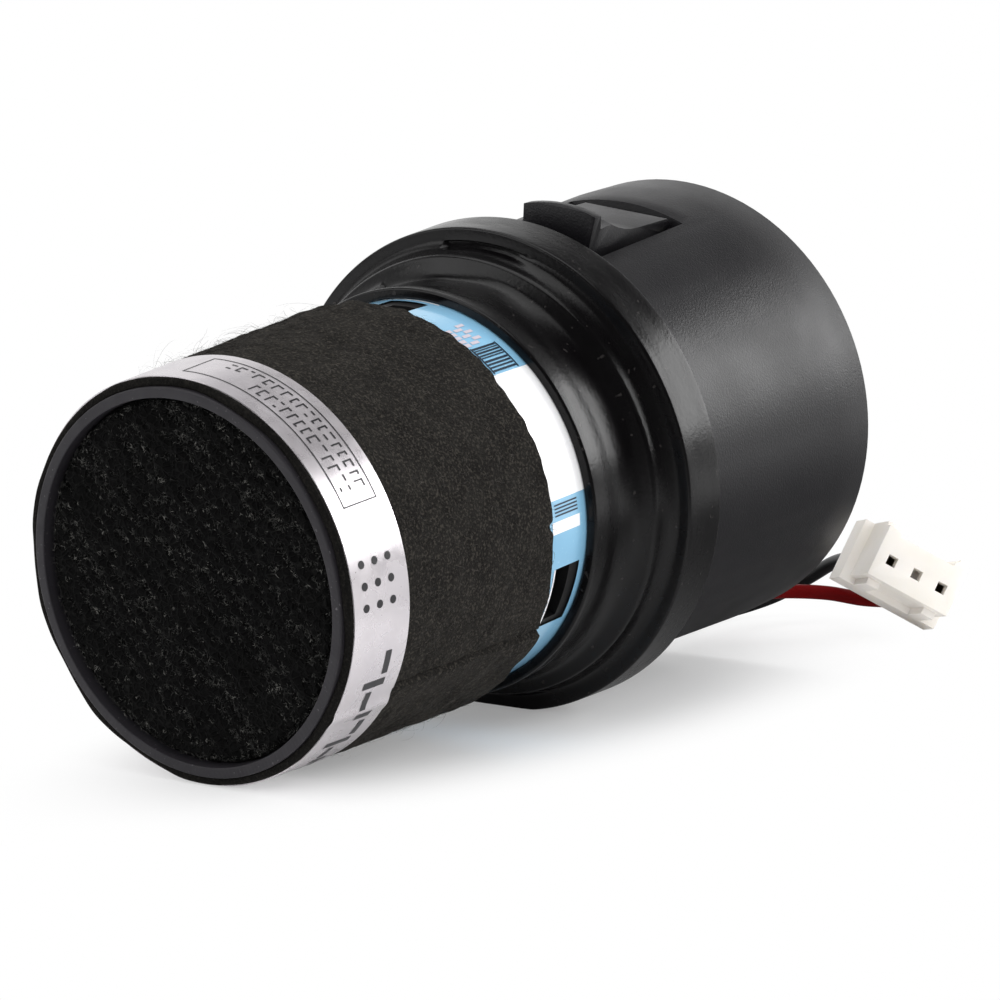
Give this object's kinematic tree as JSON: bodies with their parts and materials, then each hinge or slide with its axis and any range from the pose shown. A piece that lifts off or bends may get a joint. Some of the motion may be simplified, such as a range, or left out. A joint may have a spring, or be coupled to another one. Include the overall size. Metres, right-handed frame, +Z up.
{
  "type": "microphone capsule",
  "caption": "Moving-coil microphone capsule with felt wrap, rubber shock mount, snap-in rear cup and a two-wire lead with a small plug",
  "frame": {"origin": "middle of the bottom of the part as it lies, on the table plane, leads and plug left out", "axes": "+Z up from the table. +Y towards the rear, where the lead comes out: the capsule's axis lies in the Y-Z plane and dips by 6.9 degrees towards the front, so the front faces -Y. +X towards the side on which the latch leans and the plug lies"},
  "size_m": [0.0386, 0.0898, 0.0405],
  "materials": {
    "cup_plastic": "fine matt, moulded, near black",
    "mount_rubber": "smooth matt black rubber with a soft sheen",
    "barrel_plastic": "matt black",
    "ring_plastic": "satin dark grey",
    "black_foam": "open, curly fibres",
    "black_felt": "short nap",
    "silver_label": "metallised, satin, grey print",
    "blue_label": "glossy film, pale blue with white and dark print",
    "board": "brown laminate",
    "solder": "dull bright",
    "wadding": "open foam",
    "carrier_plastic": "matt",
    "vent_felt": "fine woven",
    "plated_steel": "zinc plated",
    "magnet_nickel": "nickel plated",
    "copper_winding": "lacquered winding",
    "clear_film": "thin polyester film",
    "clamp_metal": "satin",
    "red_insulation": "satin red",
    "black_insulation": "satin black",
    "ivory_nylon": "satin ivory, slightly translucent",
    "contact_metal": "tinned"
  },
  "bodies": {
    "root": {"rear_cup": "cup_plastic", "shock_mount": "mount_rubber", "barrel": "barrel_plastic", "rear_cap": "barrel_plastic", "terminal_board": "board", "solder_beads": "solder", "chamber_wad": "wadding", "motor_carrier": "carrier_plastic", "vent_cloth": "vent_felt", "yoke": "plated_steel", "magnet": "magnet_nickel", "pole_plate": "plated_steel", "voice_coil": "copper_winding", "diaphragm": "clear_film", "diaphragm_ring": "clamp_metal", "grille_plate": "plated_steel", "front_ring": "ring_plastic", "foam_disc": "black_foam", "felt_wrap": "black_felt", "silver_band": "silver_label", "blue_band": "blue_label", "red_wire": "red_insulation", "black_wire": "black_insulation", "plug_housing": "ivory_nylon", "plug_terminals": "contact_metal"}
  },
  "joints": []
}
